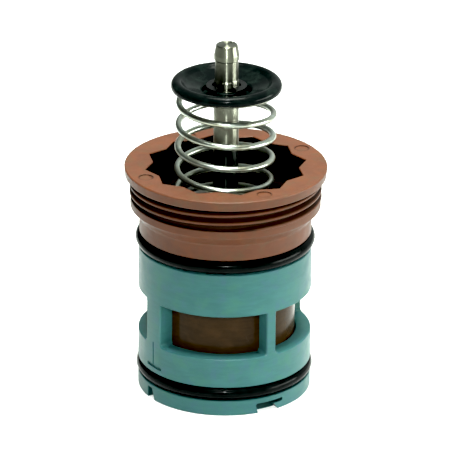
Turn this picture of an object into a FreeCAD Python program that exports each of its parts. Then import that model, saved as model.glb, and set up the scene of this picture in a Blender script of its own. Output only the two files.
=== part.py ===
import FreeCAD, Part
import math
import os
from FreeCAD import Vector, Placement, Rotation

os.makedirs("parts", exist_ok=True)

# Zone valve cartridge, millimetres.  +Z is the valve axis, z = 0 is the bottom
# face of the port cage.  The front is -Y, +X is to the right of the front view.

# ---------------------------------------------------------------- dimensions
# thread of the bonnet: 1-7/16 inch, 16 threads per inch, right hand
# the core is turned to the root diameter here
thread_r_major = 18.22
thread_depth = 0.93
thread_r_root = thread_r_major - thread_depth
thread_z0 = 38.40          # lower end of the threaded length

# bonnet
flange_r = 19.25
flange_foot_r = 19.05
flange_z0, flange_z1 = 42.85, 44.75
band_z0 = 36.96
band_r = 18.10
cone_z0 = 35.00
neck_r = 16.36
neck_z0 = 31.80
skirt_r = 14.35
skirt_z0 = 23.20
skirt_bore_r = 12.40
plate_z0, plate_z1 = 33.00, 35.00
snap_r, snap_z0, snap_z1 = 14.70, 25.00, 26.20
star_r_out, star_r_in = 15.45, 13.80
star_phase = 10.4          # degrees, first outer corner from +X
star_z0 = 37.00
well_r = 13.55             # round foot of the socket
gland_r_out = 6.20
gland_z0, gland_z1 = 24.00, 37.00
gland_bore_r = 4.12
gland_floor_z = 26.00
stem_hole_r = 2.60
clip_groove_r, clip_z0, clip_z1 = 4.95, 35.10, 36.00

# port cage
cage_r = 16.50
cage_h = 28.84
cage_bore_r = 13.50
cage_top_bore_r = 14.42
cage_shoulder_z = 21.40
win_z0, win_z1 = 11.63, 20.29
ring_groove_r, ring_groove_z0, ring_groove_z1 = 14.35, 3.06, 5.82
lip_groove_r, lip_groove_z0, lip_groove_z1 = 15.00, 9.40, 11.00
lip_gap_r = 13.72
lip_gap_z1 = 11.80         # relief for the seal's lip, just above the sills
# ribs between the windows: start and end angle from the front, toward +X
ribs = [(-63.7, -47.4), (29.2, 36.2), (117.2, 124.2), (209.5, 216.5)]
# bayonet notches in the lower lip, blind, outlines as (angle, z)
notch_back_r = 14.85
hook_notch = [(23.9, -1.0), (23.3, 0.0), (21.8, 1.55), (21.95, 1.85),
              (22.5, 2.05), (42.0, 2.14), (42.5, 1.90), (42.4, 1.56),
              (41.8, 1.42), (35.2, 1.38), (38.8, 0.0), (41.3, -1.0)]
plain_notch = [(-61.9, -1.0), (-61.9, 1.95), (-61.3, 2.35), (-56.4, 2.35),
               (-55.8, 2.0), (-53.2, 0.0), (-52.0, -1.0)]

# seals
upper_ring_r, upper_ring_sec = 15.78, 1.32
upper_ring_z = 30.36
lower_ring_r, lower_ring_sec = 15.60, 1.25
lower_ring_z = 4.44
stem_ring_r, stem_ring_sec = 3.262, 0.845

# stem
stem_r = 2.38
stem_neck_r = 2.20
stem_band_r = 2.42
stem_tip_z = 68.95
stem_cone_z = 66.94
stem_band_z = 66.02
stem_clip_z0, stem_clip_z1 = 60.20, 60.85
stem_clip_r = 1.75
stem_shoulder_z = 18.10
stem_end_r = 2.00
stem_end_z = 10.40

# piston
pis_r = 13.40
pis_bore_r = 12.30
pis_z0, pis_z1 = 9.20, 21.30
pis_hub_r = 4.20
pis_hub_z0, pis_hub_z1 = 14.50, 17.50
pis_spoke_w = 1.80

# spring cap
cap_rim_r, cap_rim_sec = 9.28, 1.20
cap_rim_z = 60.75
cap_seat_z = 60.75         # top of the channel that holds the spring's end
cap_skirt_r = 9.75
cap_skirt_z = 60.22
cap_boss_r = 7.85
cap_boss_z = 57.60
cap_floor_z = 58.75
cap_recess_r = 4.65
cap_hub_r = 3.40
cap_hub_z = 60.15

# return spring, left hand
wire_r = 0.60
spring_r = 8.95
spring_pitch = 4.43
spring_seat_z = 35.50
spring_front_z = 56.20     # height of the uppermost free front pass

Z = Vector(0, 0, 1)
O = Vector(0, 0, 0)


# ------------------------------------------------------------------- helpers
def cyl(r, z0, z1):
    return Part.makeCylinder(r, z1 - z0, Vector(0, 0, z0))


def ring(r0, r1, z0, z1):
    return cyl(r1, z0, z1).cut(cyl(r0, z0 - 1, z1 + 1))


def revolve(points):
    """Solid of revolution of a closed (r, z) polygon about Z."""
    pts = [Vector(r, 0, z) for r, z in points]
    pts.append(pts[0])
    face = Part.Face(Part.makePolygon(pts))
    return face.revolve(O, Z, 360)


def torus(r, sec, z):
    return Part.makeTorus(r, sec, Vector(0, 0, z))


def sector(r0, r1, z0, z1, a0, a1):
    """Ring sector; angles in degrees from the front, toward +X."""
    span = a1 - a0
    p = [(r0, z0), (r1, z0), (r1, z1), (r0, z1)]
    pts = [Vector(r, 0, z) for r, z in p]
    pts.append(pts[0])
    face = Part.Face(Part.makePolygon(pts))
    s = face.revolve(O, Z, span)
    s.rotate(O, Z, a0 - 90.0)
    return s


def polar(r, a):
    """Point at angle a from the front, toward +X."""
    t = math.radians(a)
    return Vector(r * math.sin(t), -r * math.cos(t), 0)


def round_edges(shape, radius, test):
    edges = [e for e in shape.Edges if test(e)]
    return shape.makeFillet(radius, edges)


def circle_at(r, z, tol=0.02):
    def test(e):
        c = e.Curve
        if not isinstance(c, Part.Circle):
            return False
        return abs(c.Radius - r) < tol and abs(c.Center.z - z) < tol
    return test


def single(shape):
    """The one solid in a boolean's result."""
    sol = shape.Solids
    if len(sol) == 1:
        return sol[0]
    sol = sorted(sol, key=lambda s: s.Volume)
    return sol[-1]


def save(name, shape):
    s = shape
    if not s.isValid():
        s.fix(0.001, 0.001, 0.001)
    n = len(s.Solids)
    print("%-22s solids %d valid %s volume %.1f" % (name, n, s.isValid(), s.Volume))
    s.exportStep("parts/%s.step" % name)
    return s


# -------------------------------------------------------------------- bonnet
bonnet = revolve([
    (0.0, plate_z0), (0.0, flange_z1), (flange_r, flange_z1),
    (flange_foot_r, flange_z0), (thread_r_root, flange_z0),
    (thread_r_root, thread_z0), (band_r - 0.15, thread_z0),
    (band_r, thread_z0 - 0.15),
    (band_r, band_z0), (neck_r, cone_z0), (neck_r, neck_z0),
    (skirt_r, neck_z0), (skirt_r, snap_z1 + 0.45), (snap_r, snap_z1),
    (snap_r, snap_z0 + 0.3), (skirt_r, snap_z0 - 0.2),
    (skirt_r, skirt_z0 + 0.3), (skirt_r - 0.3, skirt_z0),
    (skirt_bore_r, skirt_z0), (skirt_bore_r, plate_z0)])
bonnet = round_edges(bonnet, 0.28, lambda e: circle_at(flange_r, flange_z1)(e)
                     or circle_at(flange_foot_r, flange_z0)(e))
hub = cyl(gland_r_out, gland_z0, gland_z1)

# twelve-point socket: a 24-sided star, its long edges slightly rounded
star_pts = []
for k in range(24):
    a = math.radians(star_phase + 15.0 * k)
    r = star_r_out if k % 2 == 0 else star_r_in
    star_pts.append(Vector(r * math.cos(a), r * math.sin(a), star_z0))
star_pts.append(star_pts[0])
star = Part.Face(Part.makePolygon(star_pts)).extrude(Vector(0, 0, 12))
star = star.makeFillet(0.28, [e for e in star.Edges
                              if len(e.Vertexes) == 2 and
                              abs(e.Vertexes[0].Z - e.Vertexes[1].Z) > 5])
bonnet = bonnet.cut(star)
bonnet = bonnet.cut(cyl(well_r, plate_z1, star_z0 + 0.5))
bonnet = bonnet.fuse(hub)
bonnet = bonnet.cut(cyl(stem_hole_r, 20, 40))
bonnet = bonnet.cut(cyl(gland_bore_r, gland_floor_z, 40))
bonnet = bonnet.cut(cyl(clip_groove_r, clip_z0, clip_z1))
bonnet = bonnet.removeSplitter()
# six stiffening webs between gland hub and skirt, under the plate
for k in range(6):
    web = Part.makeBox(skirt_bore_r - gland_r_out + 1.4, 1.2, 4.0,
                       Vector(gland_r_out - 0.6, -0.6, plate_z0 - 4.0 + 0.5))
    web.rotate(O, Z, 60.0 * k + 30)
    bonnet = bonnet.fuse(web)
bonnet = bonnet.removeSplitter()
# shallow round ejector marks on the flange top
for a, r in ((31.0, 16.85), (116.0, 16.45), (204.5, 16.45), (296.0, 16.45)):
    t = math.radians(a)
    bonnet = bonnet.cut(Part.makeCylinder(1.35, 1.0, Vector(
        r * math.cos(t), r * math.sin(t), flange_z1 - 0.10)))

bonnet = single(bonnet)
save("bonnet", bonnet)

# ----------------------------------------------------------------- port cage
cage = revolve([
    (cage_bore_r + 0.4, 0.0), (cage_r - 0.25, 0.0), (cage_r, 0.25),
    (cage_r, ring_groove_z0), (ring_groove_r, ring_groove_z0),
    (ring_groove_r, ring_groove_z1), (cage_r, ring_groove_z1),
    (cage_r, cage_h - 0.15), (cage_r - 0.15, cage_h),
    (cage_top_bore_r + 0.15, cage_h), (cage_top_bore_r, cage_h - 0.15),
    (cage_top_bore_r, snap_z1 + 0.55), (snap_r + 0.06, snap_z1 + 0.06),
    (snap_r + 0.06, snap_z0 + 0.2), (cage_top_bore_r, snap_z0 - 0.25),
    (cage_top_bore_r, cage_shoulder_z), (cage_bore_r, cage_shoulder_z),
    (cage_bore_r, lip_gap_z1), (lip_gap_r, lip_gap_z1), (lip_gap_r, lip_groove_z1),
    (lip_groove_r, lip_groove_z1), (lip_groove_r, lip_groove_z0),
    (cage_bore_r, lip_groove_z0), (cage_bore_r, 0.4)])
# the four windows, with rounded lower corners
gaps = []
for i in range(4):
    a0 = ribs[i][1]
    a1 = ribs[(i + 1) % 4][0]
    if a1 < a0:
        a1 += 360.0
    gaps.append((a0, a1))
for a0, a1 in gaps:
    win = sector(11.0, 19.0, win_z0, win_z1, a0, a1)
    low = [e for e in win.Edges
           if len(e.Vertexes) == 2
           and abs(e.Vertexes[0].Z - win_z0) < 1e-6
           and abs(e.Vertexes[1].Z - win_z0) < 1e-6
           and not isinstance(e.Curve, Part.Circle)]
    win = win.makeFillet(0.8, low)
    cage = cage.cut(win)
# rounded outer edge of the sills
try:
    def sill(e):
        return circle_at(cage_r, win_z0)(e)
    cage2 = round_edges(cage, 0.25, sill)
    if cage2.isValid():
        cage = cage2
except Exception as err:
    print("sill fillet failed", err)


def notch(outline, turn):
    """Blind notch cut from the outside; the outline is laid on the tangent
    plane at its middle angle."""
    mid = sum(a for a, z in outline) / len(outline)
    pts = [Vector(cage_r * math.sin(math.radians(a - mid)), -12.0, z)
           for a, z in outline]
    pts.append(pts[0])
    body = Part.Face(Part.makePolygon(pts)).extrude(Vector(0, -8.0, 0))
    body.rotate(O, Z, mid + turn)
    return body.common(ring(notch_back_r, 19.0, -2.0, 5.0))


for outline in (hook_notch, plain_notch):
    for turn in (0.0, 180.0):
        cage = cage.cut(notch(outline, turn))
# shallow key mark on the broad rib: a fine upright line over a short bar
line_a = -54.8
cage = cage.cut(sector(cage_r - 0.14, 18.0, 7.4, win_z0 + 0.5,
                       line_a - 0.55, line_a + 0.55))
cage = cage.cut(sector(cage_r - 0.40, 18.0, 6.85, 7.45,
                       line_a - 7.6, line_a + 8.4))
cage = single(cage.removeSplitter())
save("port_cage", cage)

# --------------------------------------------------------------------- seals
save("upper_o_ring", torus(upper_ring_r, upper_ring_sec, upper_ring_z))
save("lower_o_ring", torus(lower_ring_r, lower_ring_sec, lower_ring_z))
# face seal clamped between bonnet skirt and cage shoulder
save("seat_seal", revolve([
    (12.35, 21.55), (12.50, 21.40), (14.30, 21.40), (14.30, 23.20),
    (12.35, 23.20)]))
# lip seal below the sill: a root ring in the groove and a short upright lip
save("lip_seal", revolve([
    (13.60, 9.50), (14.90, 9.50), (14.90, 10.90), (13.68, 10.90),
    (13.66, 11.36), (13.60, 11.42), (13.44, 11.42), (13.44, 11.00),
    (13.60, 10.50)]))
save("stem_seal_lower", torus(stem_ring_r, stem_ring_sec, 29.90))
save("stem_seal_upper", torus(stem_ring_r, stem_ring_sec, 32.70))

# --------------------------------------------------------------- gland stack
save("gland_bush", revolve([
    (2.43, 26.30), (2.70, 26.02), (4.08, 26.02), (4.08, 28.98), (2.70, 28.98),
    (2.43, 28.70)]))
save("seal_spacer", ring(2.45, 4.06, 30.80, 31.80))
save("gland_washer", revolve([
    (2.43, 33.85), (2.70, 33.60), (4.08, 33.60), (4.08, 35.08), (2.43, 35.08)]))
# internal retaining ring: a sprung C with two eyelets
clip = ring(3.55, 4.90, 35.14, 35.94)
clip = clip.cut(sector(3.0, 6.0, 34.0, 37.0, 160.0, 200.0))
for a in (153.5, 206.5):
    c = polar(3.62, a)
    ear = Part.makeCylinder(0.72, 0.8, Vector(c.x, c.y, 35.14))
    clip = clip.fuse(ear)
for a in (153.5, 206.5):
    c = polar(3.62, a)
    clip = clip.cut(Part.makeCylinder(0.33, 3, Vector(c.x, c.y, 34.5)))
clip = clip.cut(cyl(2.75, 34, 37))
save("gland_clip", single(clip.removeSplitter()))
# flat washer under the spring
save("spring_seat_washer", ring(6.60, 11.00, 35.00, spring_seat_z))

# ---------------------------------------------------------------------- stem
stem = revolve([
    (0.0, stem_end_z), (stem_end_r - 0.35, stem_end_z),
    (stem_end_r, stem_end_z + 0.35), (stem_end_r, stem_shoulder_z),
    (stem_r, stem_shoulder_z), (stem_r, stem_clip_z0),
    (stem_clip_r, stem_clip_z0), (stem_clip_r, stem_clip_z1),
    (stem_r, stem_clip_z1), (stem_r, 61.80), (stem_neck_r, 62.10),
    (stem_neck_r, stem_band_z - 0.12), (stem_neck_r - 0.12, stem_band_z - 0.06),
    (stem_neck_r - 0.12, stem_band_z), (stem_band_r - 0.08, stem_band_z),
    (stem_band_r, stem_band_z + 0.08),
    (stem_band_r, stem_cone_z), (2.04, stem_tip_z - 0.12),
    (1.93, stem_tip_z), (0.0, stem_tip_z)])
save("stem", stem)

# -------------------------------------------------------------------- piston
piston = revolve([
    (pis_bore_r + 0.25, pis_z0), (pis_r - 0.35, pis_z0), (pis_r, pis_z0 + 0.5),
    (pis_r, pis_z1 - 0.12), (pis_r - 0.12, pis_z1), (12.85, pis_z1),
    (pis_bore_r, pis_z1 - 0.9), (pis_bore_r, pis_z0 + 0.25)])
piston = piston.fuse(cyl(pis_hub_r, pis_hub_z0, pis_hub_z1))
for k in range(2):
    arm = Part.makeBox(2 * (pis_bore_r + 0.5), pis_spoke_w,
                       pis_hub_z1 - pis_hub_z0,
                       Vector(-(pis_bore_r + 0.5), -pis_spoke_w / 2, pis_hub_z0))
    arm.rotate(O, Z, 90.0 * k)
    piston = piston.fuse(arm)
piston = piston.removeSplitter()
inner = [e for e in piston.Edges
         if len(e.Vertexes) == 2
         and abs(abs(e.Vertexes[0].Z - e.Vertexes[1].Z)
                 - (pis_hub_z1 - pis_hub_z0)) < 1e-3
         and abs(math.hypot(e.Vertexes[0].X, e.Vertexes[0].Y)
                 - pis_hub_r) < 0.05]
try:
    soft = piston.makeFillet(0.8, inner)
    if soft.isValid():
        piston = soft
except Exception as err:
    print("piston fillet failed", err)
piston = piston.cut(cyl(stem_end_r + 0.03, 10, 20))
save("piston", single(piston))
save("piston_washer", ring(stem_end_r + 0.04, 4.00, pis_hub_z1, stem_shoulder_z))
save("lock_washer", ring(stem_end_r + 0.04, 3.60, pis_hub_z0 - 0.70, pis_hub_z0))
# hexagon nut, 7 mm across flats, with turned corners
nut_z0, nut_z1 = 11.85, 13.80
hexa = []
for k in range(7):
    a = math.radians(60.0 * k)
    hexa.append(Vector(7.0 / math.sqrt(3) * math.cos(a),
                       7.0 / math.sqrt(3) * math.sin(a), nut_z0))
nut = Part.Face(Part.makePolygon(hexa)).extrude(Vector(0, 0, nut_z1 - nut_z0))
nut = nut.common(revolve([(0, nut_z0), (3.45, nut_z0), (4.10, nut_z0 + 0.38),
                          (4.10, nut_z1), (0, nut_z1)]))
nut = nut.cut(cyl(stem_end_r + 0.005, 10, 16))
save("piston_nut", nut)

# ---------------------------------------------------------------- spring cap
cap = revolve([
    (stem_r + 0.05, cap_boss_z), (cap_hub_r, cap_boss_z),
    (cap_boss_r - 0.15, 59.32), (cap_boss_r, 59.50), (cap_boss_r, cap_seat_z),
    (cap_skirt_r, cap_seat_z), (cap_skirt_r, cap_skirt_z + 0.08),
    (cap_skirt_r + 0.08, cap_skirt_z), (10.26, cap_skirt_z),
    (10.41, cap_skirt_z + 0.13), (10.46, cap_rim_z - 0.10),
    (10.25, cap_rim_z), (8.40, 61.45), (7.95, 61.24),
    (cap_recess_r + 0.25, 60.17), (cap_recess_r, 60.00),
    (cap_recess_r, cap_floor_z), (cap_hub_r, cap_floor_z),
    (cap_hub_r, cap_hub_z - 0.15), (cap_hub_r - 0.15, cap_hub_z),
    (stem_r + 0.05, cap_hub_z)])
bead = torus(cap_rim_r, cap_rim_sec, cap_rim_z)
bead = bead.cut(ring(cap_boss_r - 0.2, 12.0, 58.0, cap_skirt_z))
bead = bead.cut(ring(cap_boss_r - 0.2, cap_skirt_r, 58.0, cap_seat_z))
cap = cap.fuse(bead)
cap = cap.removeSplitter()
save("spring_cap", single(cap))

# external retaining clip on the stem, above the cap
ez0, ez1 = stem_clip_z0 + 0.02, stem_clip_z1 - 0.02
eclip = ring(2.75, 3.85, ez0, ez1)
for a in (60.0, 180.0, 300.0):
    lug = sector(stem_clip_r + 0.02, 3.0, ez0, ez1, a - 17.0, a + 17.0)
    eclip = eclip.fuse(lug)
eclip = eclip.cut(Part.makeBox(2 * 1.85, 6.0, 4.0, Vector(-1.85, -6.0, ez0 - 1)))
save("cap_clip", single(eclip.removeSplitter()))

# -------------------------------------------------------------- return spring
# Left-hand compression spring.  Its lower end is closed by a dead coil, its
# upper end runs flat in the cap's channel for the last part of a turn.
z_low = spring_seat_z + wire_r + 0.01
z_top = cap_seat_z - wire_r - 0.01
dead = 1.26                # pitch of the closed lower coil
t_end = 1.54               # upper end of the wire, in turns


def spring_height(turn):
    """Wire centre height, turns counted from the uppermost free front pass,
    positive upward."""
    return spring_front_z + spring_pitch * turn


t_up = (z_top - spring_front_z) / spring_pitch
t_dn = (z_low + dead - spring_front_z) / spring_pitch
blend = 0.10


def spring_z(turn):
    if turn > t_up:
        return z_top
    if turn < t_dn:
        return spring_height(t_dn) + dead * (turn - t_dn)
    return spring_height(turn)


def spring_zs(turn):
    """Height averaged over a short arc, so the pitch changes smoothly."""
    n = 9
    acc = 0.0
    for i in range(n):
        acc += spring_z(turn + blend * (2.0 * i / (n - 1) - 1.0))
    return acc / n


t0, t1 = t_dn - 1.0, t_end
n_pts = int((t1 - t0) * 24)
pts = []
for i in range(n_pts + 1):
    t = t0 + (t1 - t0) * i / n_pts
    # left hand: seen from above the wire turns clockwise as it climbs
    ang = math.radians(270.0 - 360.0 * t)
    pts.append(Vector(spring_r * math.cos(ang), spring_r * math.sin(ang),
                      spring_zs(t)))
curve = Part.BSplineCurve()
curve.interpolate(pts)
path = Part.Wire([curve.toShape()])
tan = curve.tangent(curve.FirstParameter)[0]
sect = Part.Wire([Part.Circle(pts[0], tan, wire_r).toShape()])
spring = path.makePipeShell([sect], True, True)
print("spring length %.2f section x length %.2f" %
      (path.Length, path.Length * math.pi * wire_r ** 2))
print("spring turns %.2f  t0 %.4f t1 %.4f t_dn %.4f t_up %.4f" %
      (t1 - t0, t0, t1, t_dn, t_up))
save("return_spring", spring)
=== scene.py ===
import math

import bmesh
import bpy
import numpy as np
from mathutils import Matrix, Vector


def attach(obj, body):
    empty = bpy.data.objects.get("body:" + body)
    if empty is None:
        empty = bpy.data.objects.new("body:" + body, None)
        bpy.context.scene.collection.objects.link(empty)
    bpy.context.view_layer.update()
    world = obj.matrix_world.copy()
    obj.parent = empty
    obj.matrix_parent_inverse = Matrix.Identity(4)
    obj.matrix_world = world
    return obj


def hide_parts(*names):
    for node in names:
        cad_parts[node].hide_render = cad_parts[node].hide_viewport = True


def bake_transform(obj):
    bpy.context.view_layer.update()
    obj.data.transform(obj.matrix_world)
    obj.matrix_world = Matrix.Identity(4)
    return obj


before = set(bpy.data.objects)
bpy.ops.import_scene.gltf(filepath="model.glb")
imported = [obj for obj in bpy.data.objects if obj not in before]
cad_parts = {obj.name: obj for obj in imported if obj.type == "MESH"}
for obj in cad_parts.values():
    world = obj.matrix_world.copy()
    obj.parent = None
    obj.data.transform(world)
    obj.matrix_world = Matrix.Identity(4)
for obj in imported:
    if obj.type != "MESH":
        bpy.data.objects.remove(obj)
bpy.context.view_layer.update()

MM = 0.001
TAU = 2 * math.pi
scene = bpy.context.scene
scene.view_settings.view_transform = "Standard"
scene.view_settings.look = "None"
# deep blacks and firm middle tones
scene.view_settings.use_curve_mapping = True
tone = scene.view_settings.curve_mapping
tone.black_level = (0.010, 0.010, 0.010)
tone.update()


# ---------------------------------------------------------------- mesh helpers
def rounded(points, seg=5, support=0.05):
    """Closed (r, z[, radius]) polygon in mm with its corners rounded. Straight
    runs get a support point near each end, so smooth shading stays flat."""
    pts = [(p[0], p[1], p[2] if len(p) > 2 else 0.0) for p in points]
    n = len(pts)
    out = []
    for i in range(n):
        p0 = np.array(pts[i - 1][:2])
        p1 = np.array(pts[i][:2])
        p2 = np.array(pts[(i + 1) % n][:2])
        rad = pts[i][2]
        u = p0 - p1
        v = p2 - p1
        lu, lv = np.linalg.norm(u), np.linalg.norm(v)
        u, v = u / lu, v / lv
        cosang = float(np.clip(u @ v, -1, 1))
        ang = math.acos(cosang)
        if rad <= 0 or ang > math.radians(178):
            out.append([tuple(p1)])
            continue
        t = min(rad / math.tan(ang / 2), 0.48 * lu, 0.48 * lv)
        rr = t * math.tan(ang / 2)
        a, b = p1 + u * t, p1 + v * t
        bis = (u + v) / np.linalg.norm(u + v)
        c = p1 + bis * (rr / math.sin(ang / 2))
        a0 = math.atan2(*(a - c)[::-1])
        a1 = math.atan2(*(b - c)[::-1])
        d = (a1 - a0 + math.pi) % TAU - math.pi
        out.append([tuple(c + rr * np.array([math.cos(a0 + d * k / seg),
                                             math.sin(a0 + d * k / seg)]))
                    for k in range(seg + 1)])
    res = []
    for i in range(n):
        res.extend(out[i])
        a = np.array(out[i][-1])
        b = np.array(out[(i + 1) % n][0])
        length = np.linalg.norm(b - a)
        if length > 5 * support:
            w = (b - a) / length
            res.append(tuple(a + w * support))
            res.append(tuple(b - w * support))
    return res


def make(name, verts, faces, sharp=30.0):
    me = bpy.data.meshes.new(name)
    me.from_pydata([tuple(v) for v in verts], [], faces)
    me.update()
    ob = bpy.data.objects.new(name, me)
    scene.collection.objects.link(ob)
    tidy(ob, sharp)
    return ob


def tidy(ob, sharp=30.0, merge=1e-7):
    bm = bmesh.new()
    bm.from_mesh(ob.data)
    if merge:
        bmesh.ops.remove_doubles(bm, verts=bm.verts, dist=merge)
    bmesh.ops.dissolve_degenerate(bm, dist=1e-8, edges=bm.edges)
    bmesh.ops.recalc_face_normals(bm, faces=bm.faces)
    bm.to_mesh(ob.data)
    bm.free()
    me = ob.data
    for p in me.polygons:
        p.use_smooth = True
    me.set_sharp_from_angle(angle=math.radians(sharp))


def lathe(name, prof, n=256, sharp=30.0, phase=0.0):
    """Solid of revolution about Z of a closed (r, z) profile in mm."""
    m = len(prof)
    verts, faces = [], []
    for i in range(n):
        a = TAU * i / n + phase
        c, s = math.cos(a), math.sin(a)
        for r, z in prof:
            verts.append((r * c * MM, r * s * MM, z * MM))
    for i in range(n):
        j = (i + 1) % n
        for k in range(m):
            l = (k + 1) % m
            if prof[k][0] < 1e-6 and prof[l][0] < 1e-6:
                continue
            faces.append((i * m + k, j * m + k, j * m + l, i * m + l))
    return make(name, verts, faces, sharp)


def modifier(ob, kind, **values):
    mod = ob.modifiers.new(kind.lower(), kind)
    for k, v in values.items():
        setattr(mod, k, v)
    bpy.context.view_layer.objects.active = ob
    for o in bpy.context.selected_objects:
        o.select_set(False)
    ob.select_set(True)
    bpy.ops.object.modifier_apply(modifier=mod.name)


def cut(ob, tools, operation="DIFFERENCE"):
    for t in tools:
        modifier(ob, "BOOLEAN", operation=operation, solver="EXACT", object=t)
        me = t.data
        bpy.data.objects.remove(t)
        bpy.data.meshes.remove(me)


def shell_block(name, angles, z_low, z_high, r0, r1, flare=(0.0, 0.0)):
    """Block between two cylinders over a run of angles (degrees from the front,
    toward +X); z_low and z_high give its lower and upper edge at each angle.
    flare is how far its outline grows at the inner and the outer cylinder."""
    verts, faces = [], []
    n = len(angles)
    mid, half = (angles[0] + angles[-1]) / 2.0, (angles[-1] - angles[0]) / 2.0
    for a, zb, zt in zip(angles, z_low, z_high):
        for r, side, g in ((r0, 0, flare[0]), (r1, 0, flare[1]), (r1, 1, flare[1]),
                           (r0, 1, flare[0])):
            t = math.radians(mid + (a - mid) * (1.0 + math.degrees(g / 16.5) / half))
            z = zt + g if side else zb - g
            verts.append((r * math.sin(t) * MM, -r * math.cos(t) * MM, z * MM))
    for i in range(n - 1):
        for k in range(4):
            l = (k + 1) % 4
            faces.append((4 * i + k, 4 * (i + 1) + k, 4 * (i + 1) + l, 4 * i + l))
    faces.append((3, 2, 1, 0))
    e = 4 * (n - 1)
    faces.append((e, e + 1, e + 2, e + 3))
    return make(name, verts, faces)


def window_block(name, a0, a1, z0, z1, r0, r1, low_rad=0.0, top_rad=0.0, step=1.4,
                 flare=(0.0, 0.0)):
    """A window's cutter with rounded corners, radii in mm along the face."""
    mid_r = 16.5
    edge = [0.0]
    for rad in (low_rad, top_rad):
        if rad > 0:
            edge += [rad * (1 - math.cos(math.radians(x))) for x in
                     (12, 24, 36, 48, 60, 72, 84, 90)]
    off = sorted(set(round(math.degrees(e / mid_r), 5) for e in edge))
    count = max(2, int((a1 - a0 - 2 * off[-1]) / step))
    inner = list(np.linspace(a0 + off[-1], a1 - off[-1], count + 1))[1:-1]
    angles = [a0 + o for o in off] + inner + [a1 - o for o in reversed(off)]

    def lift(a, rad):
        if rad <= 0:
            return 0.0
        s = math.radians(min(a - a0, a1 - a)) * mid_r
        if s >= rad:
            return 0.0
        return rad - math.sqrt(max(0.0, rad * rad - (rad - s) ** 2))

    zl = [z0 + lift(a, low_rad) for a in angles]
    zh = [z1 - lift(a, top_rad) for a in angles]
    return shell_block(name, angles, zl, zh, r0, r1, flare)


def cylinder(name, x, y, r, z0, z1, n=48):
    verts, faces = [], []
    for i in range(n):
        a = TAU * i / n
        verts.append(((x + r * math.cos(a)) * MM, (y + r * math.sin(a)) * MM, z0 * MM))
    for i in range(n):
        a = TAU * i / n
        verts.append(((x + r * math.cos(a)) * MM, (y + r * math.sin(a)) * MM, z1 * MM))
    for i in range(n):
        j = (i + 1) % n
        faces.append((i, j, n + j, n + i))
    faces.append(tuple(reversed(range(n))))
    faces.append(tuple(range(n, 2 * n)))
    return make(name, verts, faces)


def bar(name, x0, x1, y0, y1, z0, z1, turn=0.0):
    c, s = math.cos(math.radians(turn)), math.sin(math.radians(turn))
    verts = []
    for z in (z0, z1):
        for x, y in ((x0, y0), (x1, y0), (x1, y1), (x0, y1)):
            verts.append(((x * c - y * s) * MM, (x * s + y * c) * MM, z * MM))
    faces = [(0, 3, 2, 1), (4, 5, 6, 7), (0, 1, 5, 4), (1, 2, 6, 5), (2, 3, 7, 6),
             (3, 0, 4, 7)]
    return make(name, verts, faces)


def loft(name, rings):
    """Closed solid through rings of equal length, each a list of (x, y, z) mm."""
    n = len(rings[0])
    verts = [(x * MM, y * MM, z * MM) for ring in rings for x, y, z in ring]
    faces = []
    for k in range(len(rings) - 1):
        for i in range(n):
            j = (i + 1) % n
            faces.append((k * n + i, k * n + j, (k + 1) * n + j, (k + 1) * n + i))
    faces.append(tuple(reversed(range(n))))
    faces.append(tuple((len(rings) - 1) * n + i for i in range(n)))
    return make(name, verts, faces)


def tube(name, path, radius, around=20, sharp=40.0):
    """Round wire along a list of points in mm, its ends ground flat with a
    small chamfer. Returns the object and each vertex's path index."""
    pts = np.array(path, float)
    n = len(pts)
    tan = np.gradient(pts, axis=0)
    tan /= np.linalg.norm(tan, axis=1)[:, None]
    up = np.array([0.0, 0.0, 1.0])
    rings, index = [], []

    def ring_at(i, r, shift):
        t = tan[i]
        side = np.cross(t, up)
        side /= np.linalg.norm(side)
        nor = np.cross(side, t)
        c = pts[i] + t * shift
        for k in range(around):
            a = TAU * k / around
            rings.append(c + r * (math.cos(a) * side + math.sin(a) * nor))
            index.append(i)

    ring_at(0, radius * 0.80, 0.0)
    ring_at(0, radius, radius * 0.2)
    for i in range(1, n - 1):
        ring_at(i, radius, 0.0)
    ring_at(n - 1, radius, -radius * 0.2)
    ring_at(n - 1, radius * 0.80, 0.0)
    m = len(rings) // around
    faces = []
    for i in range(m - 1):
        for k in range(around):
            l = (k + 1) % around
            faces.append((i * around + k, i * around + l, (i + 1) * around + l,
                          (i + 1) * around + k))
    faces.append(tuple(reversed(range(around))))
    faces.append(tuple((m - 1) * around + k for k in range(around)))
    me = bpy.data.meshes.new(name)
    me.from_pydata([tuple(np.array(v) * MM) for v in rings], [], faces)
    me.update()
    ob = bpy.data.objects.new(name, me)
    scene.collection.objects.link(ob)
    bm = bmesh.new()
    bm.from_mesh(me)
    bmesh.ops.recalc_face_normals(bm, faces=bm.faces)
    bm.to_mesh(me)
    bm.free()
    for p in me.polygons:
        p.use_smooth = True
    me.set_sharp_from_angle(angle=math.radians(sharp))
    return ob, np.array(index)


# ------------------------------------------------------------------- materials
def srgb(r, g, b):
    def lin(c):
        c = c / 255.0
        return c / 12.92 if c <= 0.04045 else ((c + 0.055) / 1.055) ** 2.4
    return (lin(r), lin(g), lin(b), 1.0)


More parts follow.
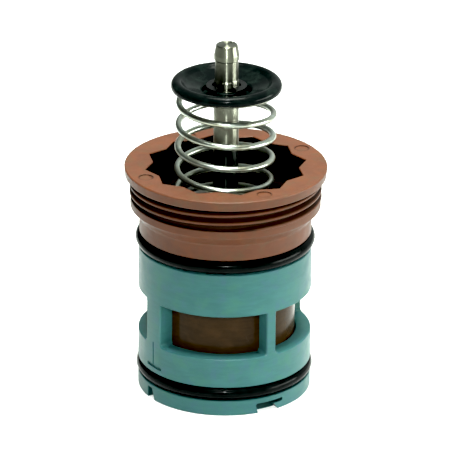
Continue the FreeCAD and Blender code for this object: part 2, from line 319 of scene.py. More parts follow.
class Mat:
    """Small builder for a node material in object coordinates (metres)."""

    def __init__(self, name):
        self.m = bpy.data.materials.new(name)
        self.m.use_nodes = True
        self.t = self.m.node_tree
        self.b = self.t.nodes["Principled BSDF"]
        self.co = self.add("ShaderNodeTexCoord").outputs["Object"]

    def add(self, kind, **inputs):
        n = self.t.nodes.new(kind)
        for k, v in inputs.items():
            n.inputs[k].default_value = v
        return n

    def link(self, a, b):
        self.t.links.new(a, b)

    def noise(self, scale, detail=4.0, rough=0.55, stretch=(1, 1, 1), distortion=0.0):
        mp = self.add("ShaderNodeMapping")
        mp.inputs["Scale"].default_value = stretch
        self.link(self.co, mp.inputs["Vector"])
        n = self.add("ShaderNodeTexNoise", Scale=scale, Detail=detail,
                     Roughness=rough, Distortion=distortion)
        self.link(mp.outputs["Vector"], n.inputs["Vector"])
        return n.outputs["Fac"]

    def speck(self, scale, size=0.2):
        v = self.add("ShaderNodeTexVoronoi", Scale=scale)
        self.link(self.co, v.inputs["Vector"])
        return self.remap(v.outputs["Distance"], 0.0, size, 1.0, 0.0)

    def remap(self, value, a, b, c, d):
        n = self.add("ShaderNodeMapRange")
        n.inputs["From Min"].default_value = a
        n.inputs["From Max"].default_value = b
        n.inputs["To Min"].default_value = c
        n.inputs["To Max"].default_value = d
        self.link(value, n.inputs["Value"])
        return n.outputs["Result"]

    def mix(self, fac, a, b):
        n = self.add("ShaderNodeMix")
        n.data_type = "RGBA"
        if isinstance(fac, float):
            n.inputs["Factor"].default_value = fac
        else:
            self.link(fac, n.inputs["Factor"])
        for sock, v in ((n.inputs[6], a), (n.inputs[7], b)):
            if isinstance(v, tuple):
                sock.default_value = v
            else:
                self.link(v, sock)
        return n.outputs[2]

    def combine(self, a, b, op="ADD", k=None):
        n = self.add("ShaderNodeMath")
        n.operation = op
        self.link(a, n.inputs[0])
        if k is not None:
            n.inputs[1].default_value = k
        else:
            self.link(b, n.inputs[1])
        return n.outputs[0]

    def axis_parts(self):
        """Distance from the Z axis and height, in metres."""
        sep = self.add("ShaderNodeSeparateXYZ")
        self.link(self.co, sep.inputs[0])
        x2 = self.combine(sep.outputs["X"], sep.outputs["X"], "MULTIPLY")
        y2 = self.combine(sep.outputs["Y"], sep.outputs["Y"], "MULTIPLY")
        r = self.combine(self.combine(x2, y2), None, "POWER", 0.5)
        return r, sep.outputs["Z"]

    def bump(self, height, distance, strength=1.0, below=None):
        n = self.add("ShaderNodeBump")
        n.inputs["Strength"].default_value = strength
        n.inputs["Distance"].default_value = distance
        self.link(height, n.inputs["Height"])
        if below is not None:
            self.link(below, n.inputs["Normal"])
        return n.outputs["Normal"]

    def rings(self, scale, distortion=0.0):
        """Fine turned lines round the Z axis, spaced along Z."""
        w = self.add("ShaderNodeTexWave", Scale=scale, Distortion=distortion,
                     Detail=2.0)
        w.bands_direction = "Z"
        self.link(self.co, w.inputs["Vector"])
        return w.outputs["Fac"]


def plastic(name, col, col2, rough=0.42, spec=0.5, mottle=160.0, grain=5200.0,
            grain_depth=2.2e-6, wave=420.0, wave_depth=9e-6, streaks=True,
            dust=0.0, painted_shade=(), boost=1.45, warm=None, cool=None, marks=()):
    """Moulded engineering plastic: slow colour drift, flow streaks round the
    part, a fine grain and a faint waviness."""
    m = Mat(name)
    drift = m.remap(m.noise(mottle, 3.0, 0.5), 0.35, 0.65, 0.0, 1.0)
    base = m.mix(drift, col, col2)
    if streaks:
        st = m.noise(230.0, 5.0, 0.65, stretch=(1.0, 1.0, 5.5), distortion=0.4)
        st = m.remap(st, 0.40, 0.62, 0.0, 0.30)
        base = m.mix(st, base, tuple(min(1.0, c * boost) for c in col[:3]) + (1.0,))
    # cloudy stains, one warmer and one cooler than the base
    for tint, size, shift in ((warm, 310.0, (1.0, 1.0, 1.3)), (cool, 390.0, (1.2, 1.0, 1.0))):
        if tint:
            blot = m.remap(m.noise(size, 5.0, 0.62, stretch=shift, distortion=0.3),
                           0.50, 0.68, 0.0, 0.55)
            base = m.mix(blot, base, tint)
    fibre = m.speck(2600.0, 0.16)
    fibre = m.combine(fibre, None, "MULTIPLY", 0.16)
    base = m.mix(fibre, base, tuple(min(1.0, c * 1.9 + 0.02) for c in col2[:3]) + (1.0,))
    if dust:
        d = m.remap(m.noise(900.0, 6.0, 0.7), 0.60, 0.74, 0.0, dust)
        base = m.mix(d, base, srgb(150, 145, 132))
    shine = None
    # painted shade: inside each zone (r0, r1, z0, z1, edge, much) the colour is darkened nearly to black
    # and the gloss lowered, standing in for deep shade in recesses and grooves
    for r0, r1, z0, z1, edge, much in painted_shade:
        rr, zz = m.axis_parts()
        mask = m.combine(m.remap(rr, r0 - edge, r0, 0.0, 1.0),
                         m.remap(rr, r1, r1 + edge, 1.0, 0.0), "MULTIPLY")
        up = m.combine(m.remap(zz, z0 - edge, z0, 0.0, 1.0),
                       m.remap(zz, z1, z1 + edge, 1.0, 0.0), "MULTIPLY")
        mask = m.combine(mask, up, "MULTIPLY")
        wob = m.remap(m.noise(700.0, 4.0, 0.6), 0.3, 0.7, much * 0.95, much)
        mask = m.combine(mask, wob, "MULTIPLY")
        base = m.mix(mask, base, tuple(c * 0.04 for c in col[:3]) + (1.0,))
        gloss = m.remap(mask, 0.0, 1.0, 1.0, 0.15)
        shine = gloss if shine is None else m.combine(shine, gloss, "MULTIPLY")
    # painted shade: a dark ring round the rim of each ejector mark's shallow recess, where it looks
    # shadowed
    for x, y, size, above in marks:
        sep = m.add("ShaderNodeSeparateXYZ")
        m.link(m.co, sep.inputs[0])
        dx = m.combine(sep.outputs["X"], None, "SUBTRACT", x)
        dy = m.combine(sep.outputs["Y"], None, "SUBTRACT", y)
        d2 = m.combine(m.combine(dx, dx, "MULTIPLY"), m.combine(dy, dy, "MULTIPLY"))
        away = m.combine(m.combine(d2, None, "POWER", 0.5), None, "SUBTRACT", size)
        away = m.combine(away, None, "ABSOLUTE", 0.0)
        ring = m.combine(m.remap(away, 0.00006, 0.00024, 0.62, 0.0),
                         m.remap(sep.outputs["Z"], above - 0.0001, above, 0.0, 1.0),
                         "MULTIPLY")
        base = m.mix(ring, base, tuple(c * 0.12 for c in col[:3]) + (1.0,))
    m.link(base, m.b.inputs["Base Color"])
    r = m.remap(m.noise(380.0, 4.0, 0.6), 0.3, 0.7, rough - 0.06, rough + 0.08)
    m.link(r, m.b.inputs["Roughness"])
    m.b.inputs["Specular IOR Level"].default_value = spec
    if shine is not None:
        m.link(m.combine(shine, None, "MULTIPLY", spec),
               m.b.inputs["Specular IOR Level"])
    g = m.bump(m.noise(grain, 3.0, 0.6), grain_depth)
    g = m.bump(m.noise(wave, 2.0, 0.5), wave_depth, 1.0, g)
    m.link(g, m.b.inputs["Normal"])
    return m.m


def rubber(name, col, rough=0.34, spec=0.5):
    m = Mat(name)
    drift = m.remap(m.noise(300.0, 4.0, 0.6), 0.35, 0.65, 0.0, 1.0)
    base = m.mix(drift, col, tuple(c * 1.7 for c in col[:3]) + (1.0,))
    bloom = m.remap(m.noise(1400.0, 6.0, 0.7), 0.62, 0.76, 0.0, 0.05)
    base = m.mix(bloom, base, srgb(100, 102, 98))
    m.link(base, m.b.inputs["Base Color"])
    m.link(m.remap(m.noise(520.0, 4.0, 0.6), 0.3, 0.7, rough - 0.07, rough + 0.10),
           m.b.inputs["Roughness"])
    m.b.inputs["Specular IOR Level"].default_value = spec
    g = m.bump(m.noise(3800.0, 4.0, 0.6), 1.6e-6)
    m.link(g, m.b.inputs["Normal"])
    return m.m


def metal(name, col, col2, rough=0.24, lines=1500.0, line_depth=1.2e-6,
          spread=0.05, stretch=(1, 1, 1), mottle=400.0, turned=False,
          shade_below=None):
    m = Mat(name)
    drift = m.remap(m.noise(mottle, 4.0, 0.6), 0.35, 0.68, 0.0, 1.0)
    base = m.mix(drift, col, col2)
    if shade_below:
        # painted shade: below a given height the metal is painted near black, standing in for the shade
        # and the dark reflections of the socket where it runs down into the bonnet
        rr, zz = m.axis_parts()
        edge = m.combine(m.remap(m.noise(1500.0, 3.0, 0.6), 0.3, 0.7, -0.0003, 0.0003),
                         zz)
        shade_fac = m.remap(edge, shade_below - 0.0006, shade_below + 0.0006, 1.0, 0.0)
        base = m.mix(shade_fac, base, (0.012, 0.014, 0.013, 1))
    m.link(base, m.b.inputs["Base Color"])
    m.b.inputs["Metallic"].default_value = 1.0
    m.link(m.remap(m.noise(900.0, 5.0, 0.6, stretch), 0.3, 0.7, rough - spread,
                   rough + spread * 1.4), m.b.inputs["Roughness"])
    g = m.bump(m.noise(lines, 4.0, 0.7, stretch), line_depth)
    m.link(g, m.b.inputs["Normal"])
    if turned:
        # fine turned lines round the axis draw highlights out along it
        tan = m.add("ShaderNodeTangent")
        tan.direction_type = "RADIAL"
        tan.axis = "Z"
        m.link(tan.outputs["Tangent"], m.b.inputs["Tangent"])
        m.b.inputs["Anisotropic"].default_value = 1.0
        m.b.inputs["Anisotropic Rotation"].default_value = 0.25
    return m.m


# painted shade: centres and sizes of the dark rings painted round the ejector marks' rims
EJECTOR_RIM_SHADE = [(R * 1e-3 * math.cos(math.radians(a)), R * 1e-3 * math.sin(math.radians(a)),
                  0.00135, 0.0443)
                 for a, R in ((31.0, 16.85), (116.0, 16.45), (204.5, 16.45), (296.0, 16.45))]
# painted shade: the socket's interior and the thread's roots are darkened as deep shade
M_BONNET = plastic("bonnet_brown", (0.077, 0.0265, 0.0128, 1), (0.065, 0.0230, 0.0114, 1),
                   rough=0.42, spec=0.19, dust=0.03, boost=1.3,
                   warm=(0.100, 0.029, 0.009, 1), cool=(0.058, 0.034, 0.0165, 1),
                   painted_shade=((0.0, 0.01560, 0.0350, 0.04455, 0.00012, 1.0),
                         (0.0172, 0.01795, 0.0384, 0.04280, 0.0002, 0.86)),
                   marks=EJECTOR_RIM_SHADE)
# painted shade: the bayonet notches' walls are darkened as deep shade
M_CAGE = plastic("cage_teal", (0.025, 0.089, 0.087, 1), (0.020, 0.077, 0.077, 1),
                 rough=0.37, spec=0.17, boost=1.3,
                 warm=(0.028, 0.103, 0.073, 1), cool=(0.030, 0.074, 0.106, 1),
                 painted_shade=((0.0140, 0.01625, 0.0002, 0.0032, 0.0001, 0.80),))
M_SLEEVE = plastic("sleeve_brown", (0.022, 0.0115, 0.0042, 1), (0.016, 0.0085, 0.003, 1),
                   rough=0.20, spec=0.065, grain_depth=1.0e-6, wave_depth=4e-6,
                   boost=1.6, warm=(0.034, 0.017, 0.006, 1))
M_RUBBER = rubber("seal_rubber", (0.002, 0.0025, 0.0025, 1), rough=0.17, spec=0.032)
M_LIP = rubber("lip_rubber", (0.003, 0.003, 0.0025, 1), rough=0.50, spec=0.1)
# the cap's greenish warm-tint blots are partly a faint dusty bloom and partly painted reflection,
# standing in for soft reflections of the bright surroundings in the dish
M_CAP = plastic("cap_black", (0.002, 0.003, 0.003, 1), (0.003, 0.004, 0.004, 1),
                rough=0.14, spec=0.035, streaks=False, warm=(0.008, 0.013, 0.011, 1), grain_depth=0.4e-6,
                wave_depth=4e-6, wave=300.0)
# painted shade: the stem and the spring wire are painted dark below a set height
M_STEEL = metal("stem_steel", (0.230, 0.235, 0.190, 1), (0.165, 0.17, 0.130, 1), rough=0.30,
                lines=2.4e3, stretch=(0.1, 0.1, 4), line_depth=0.012e-6, mottle=120.0,
                spread=0.004, turned=True, shade_below=0.0488)
M_WIRE = metal("spring_wire", (0.47, 0.53, 0.48, 1), (0.33, 0.33, 0.25, 1), rough=0.30,
               lines=900.0, line_depth=0.02e-6, spread=0.01, shade_below=0.0372)
M_ZINC = metal("plated_steel", (0.30, 0.30, 0.28, 1), (0.22, 0.22, 0.20, 1), rough=0.40,
               lines=2200.0)
M_BRASS = metal("nut_brass", (0.72, 0.53, 0.25, 1), (0.60, 0.42, 0.19, 1), rough=0.28,
                lines=1.0e3, stretch=(1, 1, 7))
M_BLACKED = metal("blacked_steel", (0.018, 0.019, 0.019, 1), (0.010, 0.011, 0.011, 1),
                  rough=0.42, lines=1900.0)
M_BEARING = plastic("bearing_cream", (0.56, 0.51, 0.39, 1), (0.49, 0.44, 0.33, 1),
                    rough=0.42, grain_depth=1.4e-6)


def finish_piece(ob, material, body, slot, *nodes):
    ob.data.materials.clear()
    ob.data.materials.append(material)
    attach(ob, body)
    if nodes:
        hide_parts(*nodes)
    return ob


def paint_node(node, material):
    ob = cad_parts[node]
    if ob.material_slots:
        for s in ob.material_slots:
            s.material = material
    else:
        ob.data.materials.append(material)


# ---------------------------------------------------------------------- camera
def place_camera():
    elev, dist, focal_px = math.radians(22.89), 0.900, 4729.0
    target = Vector((0.0, 0.0, 0.028))
    pos = target + Vector((0.0, -dist * math.cos(elev), dist * math.sin(elev)))
    # the target lies 0.35 px right of and 21.0 px below the middle of the frame
    aim = elev - math.atan(21.0 / focal_px)
    swing = -math.atan(0.35 / focal_px)
    roll = math.radians(0.49)
    fwd = Vector((math.sin(swing) * math.cos(aim), math.cos(swing) * math.cos(aim),
                  -math.sin(aim)))
    right = fwd.cross(Vector((0, 0, 1))).normalized()
    up = right.cross(fwd).normalized()
    up2 = up * math.cos(roll) - right * math.sin(roll)
    right2 = right * math.cos(roll) + up * math.sin(roll)
    rot = Matrix((right2, up2, -fwd)).transposed().to_4x4()
    cam = bpy.data.cameras.new("camera")
    cam.sensor_fit = "HORIZONTAL"
    cam.sensor_width = 36.0
    cam.lens = focal_px / 450.0 * 36.0
    cam.clip_start, cam.clip_end = 0.05, 20.0
    ob = bpy.data.objects.new("camera", cam)
    ob.matrix_world = Matrix.Translation(pos) @ rot
    scene.collection.objects.link(ob)
    scene.camera = ob


place_camera()

# ---------------------------------------------------------------------- bonnet
R_ROOT, R_MAJOR, PITCH = 17.29, 18.22, 1.5875
bonnet = lathe("bonnet_body", rounded([
    (2.60, 24.00, 0.25), (2.60, 26.00), (4.12, 26.00, 0.1), (4.12, 35.10),
    (4.95, 35.10), (4.95, 36.00), (4.12, 36.00), (4.12, 37.00, 0.25),
    (6.20, 37.00, 0.35), (6.20, 35.00, 0.5), (13.55, 35.00, 0.5),
    (13.55, 44.75), (19.25, 44.75, 0.26), (19.05, 42.85, 0.28),
    (R_ROOT, 42.85, 0.10), (R_ROOT, 38.40, 0.10), (18.02, 38.40, 0.16),
    (18.10, 36.96, 0.30), (16.36, 35.00, 0.9), (16.36, 31.80, 0.12),
    (14.35, 31.80, 0.10), (14.35, 26.65, 0.1), (14.70, 26.20, 0.08),
    (14.70, 25.30, 0.08), (14.35, 24.80, 0.1), (14.35, 23.50), (14.05, 23.20),
    (12.40, 23.20, 0.15), (12.40, 33.00, 0.5), (6.20, 33.00, 0.5),
    (6.20, 24.00, 0.35)], seg=4), n=240)


def star_ring(z, grow=0.0, r_out=15.45, r_in=13.80, fil=0.30, seg=4):
    raw = []
    for k in range(24):
        a = math.radians(10.4 + 15.0 * k)
        r = (r_out if k % 2 == 0 else r_in) + grow
        raw.append(np.array([r * math.cos(a), r * math.sin(a)]))
    ring = []
    for k in range(24):
        p0, p1, p2 = raw[k - 1], raw[k], raw[(k + 1) % 24]
        u, v = p0 - p1, p2 - p1
        u, v = u / np.linalg.norm(u), v / np.linalg.norm(v)
        ang = math.acos(float(np.clip(u @ v, -1, 1)))
        t = fil / math.tan(ang / 2)
        c = p1 + (u + v) / np.linalg.norm(u + v) * (fil / math.sin(ang / 2))
        a, b = p1 + u * t, p1 + v * t
        a0, a1 = math.atan2(*(a - c)[::-1]), math.atan2(*(b - c)[::-1])
        d = (a1 - a0 + math.pi) % TAU - math.pi
        for s in range(seg + 1):
            q = a0 + d * s / seg
            ring.append((c[0] + fil * math.cos(q), c[1] + fil * math.sin(q), z))
    return ring


star = loft("star", [star_ring(37.0), star_ring(44.60), star_ring(44.76, 0.16),
                     star_ring(46.0, 0.16)])
marks = [cylinder("mark", r * math.cos(math.radians(a)),
                  r * math.sin(math.radians(a)), 1.35, 44.63, 45.4, 48)
         for a, r in ((31.0, 16.85), (116.0, 16.45), (204.5, 16.45), (296.0, 16.45))]
webs = [bar("web", 5.9, 12.9, -0.6, 0.6, 29.5, 33.4, 60.0 * k + 30) for k in range(6)]
cut(bonnet, webs, "UNION")
cut(bonnet, [star] + marks)
tidy(bonnet, 28.0, 2e-6)
finish_piece(bonnet, M_BONNET, "root", "brown_plastic", "bonnet")


def thread_ridge(name, r_root, r_crest, pitch, z_front, turn0, turn1, crest, root,
                 sink=0.05, per_turn=144, runout=0.09, front_angle=270.0):
    """Right-hand helical ridge; z_front is the crest height at the front at
    turn 0. Its height fades out over the first and last part of a turn."""
    steps = int((turn1 - turn0) * per_turn)
    half_root = (pitch - root) / 2
    verts, faces = [], []
    m = 8
    for i in range(steps + 1):
        t = turn0 + (turn1 - turn0) * i / steps
        a = math.radians(front_angle) + TAU * t
        z = z_front + pitch * t
        f = min(1.0, (t - turn0) / runout, (turn1 - t) / runout)
        f = max(0.02, f)
        f = math.sin(f * math.pi / 2)
        rc = r_root + (r_crest - r_root) * f
        hc = crest / 2
        hr = hc + (half_root - hc) * f
        prof = [(r_root - sink, -hr), (r_root, -hr), (rc - 0.05 * f, -hc - 0.03),
                (rc, -hc + 0.03), (rc, hc - 0.03), (rc - 0.05 * f, hc + 0.03),
                (r_root, hr), (r_root - sink, hr)]
        for r, dz in prof:
            verts.append((r * math.cos(a) * MM, r * math.sin(a) * MM, (z + dz) * MM))
    for i in range(steps):
        for k in range(m):
            l = (k + 1) % m
            faces.append((i * m + k, (i + 1) * m + k, (i + 1) * m + l, i * m + l))
    faces.append(tuple(reversed(range(m))))
    faces.append(tuple(steps * m + k for k in range(m)))
    return make(name, verts, faces, 24.0)


thread = thread_ridge("bonnet_thread", R_ROOT, R_MAJOR, PITCH, 39.95, -1.0, 1.47,
                      0.32, 0.22)
finish_piece(thread, M_BONNET, "root", "brown_plastic")

# ------------------------------------------------------------------- port cage
cage = lathe("cage_body", rounded([
    (13.90, 0.0, 0.1), (16.50, 0.0, 0.28), (16.50, 3.06, 0.18), (14.35, 3.06, 0.15),
    (14.35, 5.82, 0.15), (16.50, 5.82, 0.18), (16.50, 28.84, 0.22),
    (14.42, 28.84, 0.15), (14.42, 26.70), (14.76, 26.26), (14.76, 25.20),
    (14.42, 24.75), (14.42, 21.40), (13.50, 21.40, 0.1), (13.50, 11.80),
    (13.72, 11.80), (13.72, 11.00), (15.00, 11.00, 0.1), (15.00, 9.40, 0.1),
    (13.50, 9.40), (13.50, 0.40)], seg=4), n=256)
ribs = [(-63.7, -47.4), (29.2, 36.2), (117.2, 124.2), (209.5, 216.5)]
tools = []
for i in range(4):
    a0, a1 = ribs[i][1], ribs[(i + 1) % 4][0]
    if a1 < a0:
        a1 += 360.0
    tools.append(window_block("window", a0, a1, 11.63, 20.29, 11.0, 19.0, 0.8, 0.25))
    # worn, slightly broken outer edge of the window
    tools.append(window_block("window_edge", a0, a1, 11.63, 20.29, 16.10, 16.70, 0.8,
                              0.25, flare=(-0.23, 0.37)))

# blind bayonet notches, outlines as (angle from the front, z)
hook_notch = [(23.9, -1.0), (23.3, 0.0), (21.8, 1.50), (21.85, 1.72), (22.05, 1.90),
              (22.3, 2.01), (22.6, 2.05), (42.0, 2.14), (42.4, 2.05), (42.5, 1.80),
              (42.35, 1.55), (41.8, 1.42), (35.2, 1.38), (38.8, 0.0), (41.3, -1.0)]
plain_notch = [(-61.9, -1.0), (-61.9, 1.95), (-61.75, 2.18), (-61.3, 2.35),
               (-56.4, 2.35), (-56.0, 2.25), (-55.8, 2.0), (-53.2, 0.0), (-52.0, -1.0)]


def notch(outline, turn):
    mid = sum(a for a, z in outline) / len(outline)
    c, q = math.cos(math.radians(mid + turn)), math.sin(math.radians(mid + turn))
    rings = []
    for y in (-12.0, -20.0):
        row = []
        for a, z in outline:
            u = 16.5 * math.sin(math.radians(a - mid))
            row.append((u * c - y * q, u * q + y * c, z))
        rings.append(row)
    body = loft("notch", rings)
    back = lathe("back", [(14.85, -2.0), (19.0, -2.0), (19.0, 5.0), (14.85, 5.0)], 256)
    cut(body, [back], "INTERSECT")
    return body


for outline in (hook_notch, plain_notch):
    for turn in (0.0, 180.0):
        tools.append(notch(outline, turn))
tools.append(window_block("key_line", -55.35, -54.25, 7.1, 12.1, 16.36, 18.0))
tools.append(window_block("key_bar", -62.4, -46.4, 6.85, 7.45, 16.10, 18.0, 0.15, 0.15))
cut(cage, tools)
tidy(cage, 28.0, 2e-6)
finish_piece(cage, M_CAGE, "root", "teal_plastic", "port_cage")


# ----------------------------------------------------------------------- seals
def o_ring(name, r, sec, z, flash=0.03, n=288, m=44):
    prof = []
    for k in range(m):
        a = TAU * k / m
        e = 0.0
        for c in (0.0, math.pi, TAU):
            e += math.exp(-((a - c) / 0.09) ** 2)
        q = sec - flash + flash * min(1.0, e)
        prof.append((r + q * math.cos(a), z + q * math.sin(a)))
    return lathe(name, prof, n, 60.0)


finish_piece(o_ring("upper_ring", 15.78, 1.32, 30.36), M_RUBBER, "root",
             "black_rubber", "upper_o_ring")
finish_piece(o_ring("lower_ring", 15.60, 1.25, 4.44), M_RUBBER, "root",
             "black_rubber", "lower_o_ring")
lip = lathe("lip_ring", rounded([
    (13.60, 9.50, 0.15), (14.90, 9.50, 0.2), (14.90, 10.90, 0.2), (13.68, 10.90),
    (13.66, 11.36, 0.04), (13.60, 11.42, 0.05), (13.44, 11.42, 0.04), (13.44, 11.00),
    (13.60, 10.50)], seg=3, support=0.03), n=240)
finish_piece(lip, M_LIP, "root", "black_rubber", "lip_seal")
seat = lathe("seat_ring", rounded([
    (12.35, 21.40, 0.15), (14.30, 21.40, 0.1), (14.30, 23.20, 0.1),
    (12.35, 23.20, 0.1)], seg=3), n=200)
finish_piece(seat, M_RUBBER, "root", "black_rubber", "seat_seal")

# ---------------------------------------------------------------------- piston
piston = lathe("sleeve_body", rounded([
    (12.30, 9.20, 0.25), (13.40, 9.20, 0.45), (13.40, 21.30, 0.14),
    (12.88, 21.30, 0.06), (12.30, 20.40, 0.15)], seg=4), n=240)
hub = lathe("hub", rounded([
    (2.03, 14.50), (4.20, 14.50, 0.25), (4.20, 17.50, 0.25), (2.03, 17.50)],
    seg=3), n=72)
arms = [bar("arm", -12.8, 12.8, -0.9, 0.9, 14.5, 17.5, 90.0 * k) for k in range(2)]
bore = cylinder("bore", 0, 0, 2.03, 12.0, 20.0, 72)
cut(piston, arms + [hub], "UNION")
cut(piston, [bore])
modifier(piston, "BEVEL", width=0.00012, segments=2, limit_method="ANGLE",
         angle_limit=math.radians(50), use_clamp_overlap=True)
tidy(piston, 30.0, 1e-6)
finish_piece(piston, M_SLEEVE, "valve_stem", "brown_sleeve", "piston")

# ------------------------------------------------------------------------ stem
stem = lathe("stem_rod", rounded([
    (0.0, 10.40), (1.65, 10.40), (2.00, 10.75), (2.00, 18.10), (2.38, 18.10, 0.05),
    (2.38, 60.20), (1.75, 60.20), (1.75, 60.85), (2.38, 60.85), (2.38, 61.80, 0.3),
    (2.20, 62.10, 0.3), (2.20, 65.84, 0.05), (2.10, 65.92), (2.10, 66.02),
    (2.34, 66.02), (2.42, 66.10), (2.42, 66.94, 0.06), (2.04, 68.82, 0.05),
    (1.93, 68.95, 0.05), (0.0, 68.95)], seg=4, support=0.06), n=128, sharp=25.0)
# a small knock on the far side of the tip's face
cut(stem, [cylinder("nick", 1.10, 0.95, 0.42, 68.80, 70.0, 24),
           cylinder("nick", 1.95, -0.35, 0.20, 68.30, 70.0, 20)])
tidy(stem, 25.0, 1e-6)
finish_piece(stem, M_STEEL, "valve_stem", "steel", "stem")

# ------------------------------------------------------------------ spring cap
rim = []
for k in range(0, 31):
    a = math.radians(-4.0 + (134.0 + 4.0) * k / 30)
    rim.append((9.28 + 1.20 * math.cos(a), 60.75 + 1.20 * math.sin(a)))


def open_run(points, seg=4):
    """The rounded corners of an open run; its two end points stay sharp."""
    res = rounded(points, seg)
    # drop the support points that rounded() puts on the closing side
    last = points[-1][:2]
    while abs(res[-1][0] - last[0]) > 1e-6 or abs(res[-1][1] - last[1]) > 1e-6:
        res.pop()
    return res


low = open_run([(2.43, 58.4), (2.43, 57.60, 0.1), (3.40, 57.60, 0.1),
                (7.70, 59.32, 0.2), (7.85, 59.50, 0.1), (7.85, 60.75, 0.1),
                (9.75, 60.75, 0.1), (9.75, 60.22, 0.07), (10.40, 60.22, 0.14),
                (10.472, 60.60)])
dish = open_run([(8.35, 61.52), (7.98, 61.24, 0.3), (4.95, 60.19, 0.25),
                 (4.65, 59.90, 0.08), (4.65, 58.75, 0.25), (3.40, 58.75, 0.2),
                 (3.40, 60.15, 0.15), (2.43, 60.15, 0.1), (2.43, 58.6)])
cap = lathe("cap_body", low + rim + dish, n=192, sharp=35.0)
finish_piece(cap, M_CAP, "spring_carrier", "black_cap", "spring_cap")

# --------------------------------------------------------------- return spring
WIRE, COIL, SP = 0.60, 8.95, 4.43
Z_LOW, Z_TOP, DEAD, Z_FRONT = 36.11, 60.14, 1.26, 56.20
T_UP, T_END = (Z_TOP - Z_FRONT) / SP, 1.54
T_DN = (Z_LOW + DEAD - Z_FRONT) / SP


def coil_height(t):
    if t > T_UP:
        return Z_TOP
    if t < T_DN:
        return Z_FRONT + SP * T_DN + DEAD * (t - T_DN)
    return Z_FRONT + SP * t


path, weights = [], []
T_START = T_DN - 1.0
steps = int((T_END - T_START) * 72)
for i in range(steps + 1):
    t = T_START + (T_END - T_START) * i / steps
    z = sum(coil_height(t + 0.10 * (2.0 * k / 10 - 1.0)) for k in range(11)) / 11
    a = math.radians(270.0 - 360.0 * t)
    lean = -0.45 + 0.56 * (z - Z_LOW) / (Z_TOP - Z_LOW)
    path.append((COIL * math.cos(a) + lean, COIL * math.sin(a), z))
    weights.append((z - Z_LOW) / (Z_TOP - Z_LOW))
spring, index = tube("return_coil", path, WIRE, 22)
spring.data.materials.append(M_WIRE)
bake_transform(spring)
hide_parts("return_spring")

# --------------------------------------------------------- pieces kept from CAD
for node, material in {
        "stem_seal_lower": M_RUBBER, "stem_seal_upper": M_RUBBER,
        "gland_bush": M_BEARING, "seal_spacer": M_BEARING,
        "gland_washer": M_BEARING, "gland_clip": M_ZINC,
        "spring_seat_washer": M_ZINC, "cap_clip": M_BLACKED,
        "piston_washer": M_ZINC, "lock_washer": M_ZINC,
        "piston_nut": M_BRASS}.items():
    paint_node(node, material)


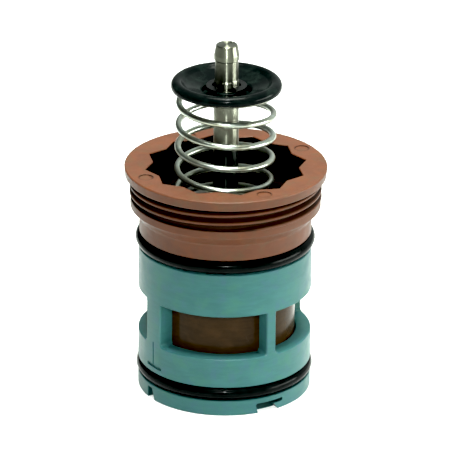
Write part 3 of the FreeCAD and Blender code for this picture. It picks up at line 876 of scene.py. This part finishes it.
# ------------------------------------------------------------ floor and lights
def stage_scene():
    m = Mat("floor_white")
    # a pale sheet that glows from below, a painted pool of light: its colour and its glow are brightest
    # round the object and fade to grey further out
    sep = m.add("ShaderNodeSeparateXYZ")
    m.link(m.co, sep.inputs[0])
    ex = m.combine(sep.outputs["X"], None, "DIVIDE", 0.10)
    ey = m.combine(m.combine(sep.outputs["Y"], None, "SUBTRACT", 0.085), None,
                   "DIVIDE", 0.20)
    far = m.combine(m.combine(ex, ex, "MULTIPLY"), m.combine(ey, ey, "MULTIPLY"))
    light_pool = m.remap(far, 1.0, 6.0, 1.0, 0.0)
    tint = m.mix(m.remap(m.noise(3.0, 3.0), 0.3, 0.7, 0.0, 1.0),
                 (0.47, 0.48, 0.475, 1), (0.49, 0.50, 0.495, 1))
    base = m.mix(light_pool, (0.26, 0.265, 0.265, 1), tint)
    m.link(base, m.b.inputs["Base Color"])
    m.b.inputs["Roughness"].default_value = 0.85
    m.b.inputs["Specular IOR Level"].default_value = 0.2
    m.link(m.mix(light_pool, (0.0, 0.0, 0.0, 1), (0.60, 0.62, 0.61, 1)),
           m.b.inputs["Emission Color"])
    m.b.inputs["Emission Strength"].default_value = 1.0
    s = 1.6
    floor = make("floor", [(-s, -s, 0), (s, -s, 0), (s, s, 0), (-s, s, 0)],
                 [(0, 1, 2, 3)])
    floor.data.materials.append(m.m)

    world = bpy.data.worlds.new("studio")
    scene.world = world
    world.use_nodes = True
    t = world.node_tree
    t.nodes.clear()
    out = t.nodes.new("ShaderNodeOutputWorld")
    co = t.nodes.new("ShaderNodeTexCoord")
    sep = t.nodes.new("ShaderNodeSeparateXYZ")
    t.links.new(co.outputs["Generated"], sep.inputs[0])
    # bright behind the object and to its right, dim on the camera's side

    def slope(axis, a, b, low, high):
        n = t.nodes.new("ShaderNodeMapRange")
        n.inputs["From Min"].default_value = a
        n.inputs["From Max"].default_value = b
        n.inputs["To Min"].default_value = low
        n.inputs["To Max"].default_value = high
        t.links.new(sep.outputs[axis], n.inputs["Value"])
        return n.outputs["Result"]

    both = t.nodes.new("ShaderNodeMath")
    both.operation = "MULTIPLY"
    t.links.new(slope("Y", -0.1, 0.6, 0.03, 1.0), both.inputs[0])
    t.links.new(slope("X", -0.5, 0.25, 0.10, 1.0), both.inputs[1])
    bg = t.nodes.new("ShaderNodeBackground")
    t.links.new(both.outputs[0], bg.inputs["Strength"])
    bg.inputs["Color"].default_value = (0.92, 1.0, 0.96, 1.0)
    t.links.new(bg.outputs[0], out.inputs["Surface"])


def area(name, loc, at, size, power, color=(1, 1, 1), size_y=None):
    li = bpy.data.lights.new(name, "AREA")
    li.energy = power
    li.color = color
    li.shape = "RECTANGLE"
    li.size = size
    li.size_y = size_y or size
    ob = bpy.data.objects.new(name, li)
    ob.location = loc
    d = Vector(at) - Vector(loc)
    ob.rotation_mode = "QUATERNION"
    ob.rotation_quaternion = d.to_track_quat("-Z", "Y")
    scene.collection.objects.link(ob)
    return ob


stage_scene()
area("top_soft", (0.05, 0.02, 0.95), (0, 0, 0.0), 0.50, 28.0, (0.95, 1.0, 0.90))
area("top_small", (0.02, -0.16, 0.80), (0, 0, 0.03), 0.08, 5.0, (0.93, 1.0, 0.98))
area("right_low", (0.80, -0.10, 0.13), (0, 0, 0.03), 0.60, 9.6, (0.95, 1.0, 0.92),
     size_y=0.16)
area("left_low", (-0.80, -0.05, 0.13), (0, 0, 0.03), 0.60, 0.15, (0.95, 1.0, 0.92),
     size_y=0.16)
area("front_flash", (0.015, -0.80, 0.52), (0, 0, 0.03), 0.035, 8.5, (0.93, 1.0, 0.96))
